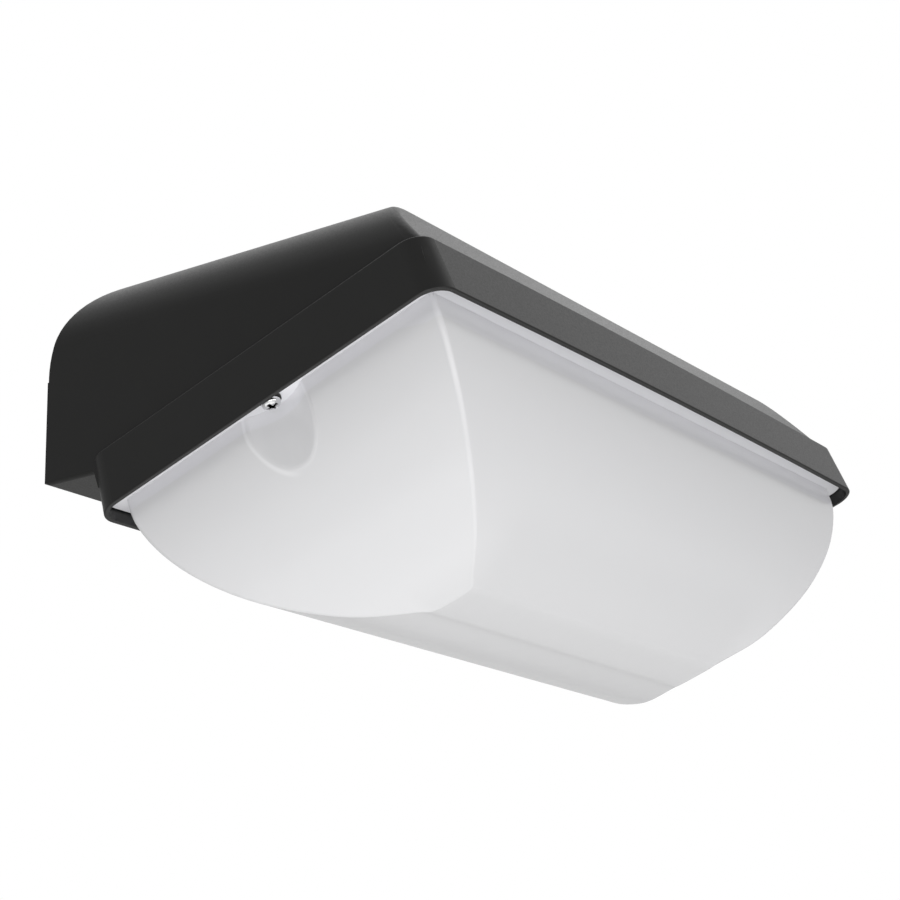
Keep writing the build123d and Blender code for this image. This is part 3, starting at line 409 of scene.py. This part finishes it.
# Each plain slot's colour, roughness, size and height of the grain in millimetres, and mottling
PLAIN = {
    "black_plastic": ((0.009, 0.009, 0.0085), 0.38, 0.7, 0.0025, 0.10),
    "black_rubber": ((0.016, 0.016, 0.016), 0.70, 0.5, 0.012, 0.15),
    "grey_silicone": ((0.30, 0.30, 0.31), 0.52, 1.0, 0.010, 0.06),
    "white_sheet": ((0.78, 0.78, 0.76), 0.36, 1.2, 0.010, 0.03),
    "white_plastic": ((0.72, 0.71, 0.66), 0.44, 0.6, 0.006, 0.04),
    "grey_plastic": ((0.30, 0.31, 0.32), 0.46, 0.6, 0.008, 0.06),
    "orange_plastic": ((0.80, 0.20, 0.02), 0.36, 0.6, 0.005, 0.05),
    "brown_insulation": ((0.11, 0.05, 0.025), 0.42, 1.0, 0.006, 0.10),
    "blue_insulation": ((0.02, 0.09, 0.36), 0.42, 1.0, 0.006, 0.08),
    "green_insulation": ((0.05, 0.30, 0.05), 0.42, 1.0, 0.006, 0.08),
    "red_insulation": ((0.50, 0.02, 0.02), 0.42, 1.0, 0.006, 0.08),
}
MATERIALS = {
    **{slot: surface(slot, *look) for slot, look in PLAIN.items()},
    "opal_plastic": opal("opal_plastic"),
    "bright_steel": screw_steel("bright_steel"),
    "spring_steel": surface("spring_steel", (0.38, 0.38, 0.40), 0.34, 1.0, 0.004, metal=1.0),
    "zinc_steel": surface("zinc_steel", (0.60, 0.61, 0.63), 0.32, 1.2, 0.004, 0.10, 4.0, metal=1.0),
    "brass": surface("brass", (0.72, 0.50, 0.20), 0.28, 1.0, 0.004, metal=1.0),
    "tinned_brass": surface("tinned_brass", (0.66, 0.64, 0.59), 0.30, 1.0, 0.004, metal=1.0),
    "black_foam": surface("black_foam", (0.018, 0.018, 0.019), 0.92, 0.9, 0.12, 0.20, cellular=True),
    "green_board": surface("green_board", (0.03, 0.16, 0.06), 0.32, 0.8, 0.004, 0.15, 3.0),
    "white_board": printed_board("white_board"),
    "phosphor": chip_face("phosphor"),
}

for part in frame["record"]["subparts"]:
    shown = NODES[part["node"]]
    for slot in shown.material_slots:
        slot.material = MATERIALS[part["material_slot"]]


# Pieces with more detail than the solids they stand for
def mouth_frame(u, v, n):
    """Frame at a place of the mouth: x along the wall, y forward, z out of it, in millimetres."""
    spot = MIDDLE + (ALONG_WALL * u + FORWARD * v + OUTWARD * n) * MM
    turn = Matrix((ALONG_WALL, FORWARD, OUTWARD)).transposed().to_4x4()
    return Matrix.Translation(spot) @ turn @ Matrix.Scale(MM, 4)


def add_piece(name, made, slot, body, *nodes):
    """Turn a bmesh into a piece that rides on a body and, where nodes are given, stands for them."""
    mesh = bpy.data.meshes.new(name)
    bmesh.ops.recalc_face_normals(made, faces=made.faces)
    made.to_mesh(mesh)
    made.free()
    mesh.polygons.foreach_set("use_smooth", [True] * len(mesh.polygons))
    mesh.set_sharp_from_angle(angle=SHARP_ANGLE)
    mesh.materials.append(MATERIALS[slot])
    piece = bpy.data.objects.new(name, mesh)
    bpy.context.collection.objects.link(piece)
    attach(piece, body)
    if nodes:
        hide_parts(*nodes)


def circle(radius, z, count):
    """Ring of points about the z axis."""
    turns = [2 * pi * k / count for k in range(count)]
    return [(radius * cos(turn), radius * sin(turn), z) for turn in turns]


def add_rings(made, rings, at):
    """Join rings of points into a closed skin."""
    made_rings = [[made.verts.new(at @ Vector(point)) for point in ring] for ring in rings]
    for low, high in zip(made_rings, made_rings[1:]):
        for k in range(len(low)):
            after = (k + 1) % len(low)
            made.faces.new((low[k], low[after], high[after], high[k]))
    made.faces.new(made_rings[0])
    made.faces.new(made_rings[-1])


def smooth_step(value):
    """Soft step from 0 to 1."""
    value = min(1.0, max(0.0, value))
    return value * value * (3 - 2 * value)


def thread_rings(radius, length, pitch, rings_per_turn):
    """Rings of a cut thread, from its narrow tip at z = -length to z = 0."""
    rings = []
    rows = round(length / pitch * rings_per_turn)
    for row in range(rows + 1):
        z = length * row / rows - length
        tip = smooth_step((z + length) / (TIP_TURNS * pitch))
        ring = []
        for k in range(SCREW_AROUND):
            turn = 2 * pi * k / SCREW_AROUND
            phase = (z / pitch - k / SCREW_AROUND) % 1
            crest = smooth_step(FLANK_SLOPE * (1 - abs(2 * phase - 1)) - FLANK_START)
            r = radius * (1 - THREAD_DEPTH + THREAD_DEPTH * crest) * (1 - TIP_TAPER + TIP_TAPER * tip)
            ring.append((r * cos(turn), r * sin(turn), z))
        rings.append(ring)
    return rings


def head_rings(radius, height):
    """Rings of a pan head with a cross recess, from its seat at z = 0 to the middle of its top."""
    rings = [circle(r * radius, z * height, SCREW_AROUND) for r, z in HEAD_SIDE]
    edge = HEAD_SIDE[-1][1] * height
    recess = RECESS_REACH * radius
    arm = RECESS_ARM * radius
    for step in range(1, DOME_RINGS + 1):
        share = 1 - step / (DOME_RINGS + 1)
        dome = edge + (height - edge) * sqrt(1 - share ** DOME_POWER)
        ring = []
        for x, y, z in circle(share * radius, dome, SCREW_AROUND):
            reach = smooth_step((recess - hypot(x, y)) / (RECESS_END_SLOPE * radius))
            inside = smooth_step((arm - min(abs(x), abs(y))) / (RECESS_SIDE_SLOPE * radius) + 0.5)
            sunk = reach * inside * height * (RECESS_DEPTH - RECESS_RISE * hypot(x, y) / recess)
            ring.append((x, y, z - sunk))
        rings.append(ring)
    return rings


def add_screw(made, at, head_radius, head_height, radius, length, pitch, rings_per_turn):
    """Pan-head screw with a cross recess and a cut thread. Its seat is at z = 0, its head points to +z."""
    rings = thread_rings(radius, length, pitch, rings_per_turn) + head_rings(head_radius, head_height)
    add_rings(made, rings, at)


def add_block(made, at, size, round_by):
    """Block with rounded edges, its foot at z = 0."""
    corners = bmesh.ops.create_cube(made, size=1.0)["verts"]
    bmesh.ops.scale(made, vec=size, verts=corners)
    bmesh.ops.translate(made, vec=(0, 0, size[2] / 2), verts=corners)
    edges = list(dict.fromkeys(edge for corner in corners for edge in corner.link_edges))
    rounded = bmesh.ops.bevel(made, geom=edges, offset=round_by, segments=BLOCK_SEGMENTS, profile=0.5,
                              affect="EDGES")
    bmesh.ops.transform(made, matrix=at, verts=rounded["verts"])


def add_tube(made, at, outer, inner, length):
    """Short tube with a flared mouth and a closed foot, from z = 0 to z = length."""
    profile = [(r * outer, z * length) for r, z in TUBE_OUTSIDE]
    profile += [(r * inner, z * length) for r, z in TUBE_BORE]
    add_rings(made, [circle(r, z, TUBE_AROUND) for r, z in profile], at)


for side, name in ((-1, "cover_screw_left"), (1, "cover_screw_right")):
    screw = bmesh.new()
    add_screw(screw, mouth_frame(side * COVER_SCREW_X, 0, COVER_HEAD_SEAT), **COVER_SCREW)
    add_piece(f"{name}_threaded", screw, "bright_steel", name, name)

tray_screws = bmesh.new()
board_screws = bmesh.new()
for x in (-1, 1):
    for y in (-1, 1):
        add_screw(tray_screws, mouth_frame(x * POST_X, y * POST_Y, TRAY_FACE), **TRAY_SCREW)
        board_spot = mouth_frame(x * BOARD_SCREW_X, y * BOARD_SCREW_Y, BOARD_FACE)
        add_screw(board_screws, board_spot, **BOARD_SCREW)
add_piece("tray_screws_threaded", tray_screws, "zinc_steel", "housing", "tray_screws")
add_piece("board_screws_threaded", board_screws, "zinc_steel", "housing", "board_screws")

# Solder at both ends of each chip
for side, name in ((-1, "rear"), (1, "front")):
    solder = bmesh.new()
    for k in range(CHIP_COUNT):
        for end in (-1, 1):
            u = CHIP_FIRST + k * CHIP_PITCH + end * SOLDER_OUT
            add_block(solder, mouth_frame(u, side * CHIP_ROW, BOARD_FACE), **SOLDER)
    add_piece(f"chip_solder_{name}", solder, "tinned_brass", "housing")


# Push-in connectors: a stepped body with two release keys, two contact caps and a flared entry
def connector_spot(side, u, v, n):
    """Frame at a place of the connector on one side, from the middle of its foot."""
    return mouth_frame(CONNECTOR_X + u, side * (CONNECTOR_Y + v), BOARD_FACE + n)


connectors = bmesh.new()
for side in (-1, 1):
    add_block(connectors, connector_spot(side, 0, *BODY_SPOT), **CONNECTOR_BODY)
    add_block(connectors, connector_spot(side, 0, *STEP_SPOT), **CONNECTOR_STEP)
    for u in (-CONTACT_X, CONTACT_X):
        add_block(connectors, connector_spot(side, u, *KEY_SPOT), **RELEASE_KEY)
        add_block(connectors, connector_spot(side, u, *CAP_SPOT), **CONTACT_CAP)
    facing_out = Matrix.Rotation(radians(90 * side), 4, "X")
    add_tube(connectors, mouth_frame(CONNECTOR_X, side * ENTRY_Y, ENTRY_FACE) @ facing_out, **LEAD_ENTRY)
add_piece("push_in_connectors", connectors, "white_plastic", "housing", "board_connectors")

# Studio: white surroundings, a pale floor and soft lights
FLOOR_Z = -1.6
FLOOR_HALF = 4.0
CENTRE = (CAD_BOX[0] + CAD_BOX[1]) / 2
BACKDROP = Vector((0.664, 0.242, 0.707))        # towards the white screen above and behind the part
GLOW = ((0.55, (0.34,) * 3), (0.85, (0.82,) * 3))

# Name, azimuth and elevation in degrees, then distance, width and height in metres, and power
SOFTBOXES = (
    ("under_softbox", -90, -85, 0.72, 1.0, 1.0, 1.4),
    ("front_softbox", -100, -10, 1.8, 1.4, 1.0, 6.2),
    ("rear_left_softbox", 125, 52, 1.6, 1.4, 0.8, 0.85),
    ("left_softbox", 218, -20, 1.6, 1.0, 1.0, 5.8),
    ("low_left_softbox", 218, -62, 0.95, 1.6, 1.6, 1.5),
    ("rear_softbox", 60, 55, 1.6, 1.0, 1.0, 0.65),
    ("rear_right_softbox", 22, 33, 2.0, 0.7, 0.5, 0.8),
)

world = bpy.data.worlds.new("studio")
world.use_nodes = True
bpy.context.scene.world = world
sky = world.node_tree
sky.nodes.clear()
toward = new_node(sky, "ShaderNodeTexCoord").outputs["Generated"]
inputs = {0: toward, 1: BACKDROP}
facing = new_node(sky, "ShaderNodeVectorMath", inputs, operation="DOT_PRODUCT").outputs["Value"]
glow = ramp(sky, facing, *GLOW)
ambient = new_node(sky, "ShaderNodeBackground", {"Color": glow, "Strength": 1.0}).outputs["Background"]
inputs = {"Color": (1, 1, 1, 1), "Strength": 1.0}
white = new_node(sky, "ShaderNodeBackground", inputs).outputs["Background"]
seen = new_node(sky, "ShaderNodeLightPath").outputs["Is Camera Ray"]
mixed = new_node(sky, "ShaderNodeMixShader", {0: seen, 1: ambient, 2: white}).outputs["Shader"]
new_node(sky, "ShaderNodeOutputWorld", {"Surface": mixed})


def softbox(name, azimuth, elevation, away, width, height, power):
    """Area light that points at the middle of the part; azimuth 0 is +X."""
    lamp = bpy.data.lights.new(name, "AREA")
    lamp.shape = "RECTANGLE"
    lamp.size = width
    lamp.size_y = height
    lamp.energy = power
    lamp_object = bpy.data.objects.new(name, lamp)
    a = radians(azimuth)
    e = radians(elevation)
    back = Vector((cos(e) * cos(a), cos(e) * sin(a), sin(e)))
    lamp_object.location = CENTRE + back * away
    lamp_object.rotation_euler = back.to_track_quat("Z", "Y").to_euler()
    lamp_object.visible_camera = False
    bpy.context.collection.objects.link(lamp_object)


for lamp_row in SOFTBOXES:
    softbox(*lamp_row)

floor_mesh = bpy.data.meshes.new("floor")
floor_corners = [(x * FLOOR_HALF, y * FLOOR_HALF, FLOOR_Z) for x, y in ((-1, -1), (1, -1), (1, 1), (-1, 1))]
floor_mesh.from_pydata(floor_corners, [], [(0, 1, 2, 3)])
floor = bpy.data.objects.new("floor", floor_mesh)
floor_mesh.materials.append(surface("pale_floor", (0.78, 0.78, 0.77), 0.7, 4.0, 0.05, 0.02, 300.0))
bpy.context.collection.objects.link(floor)
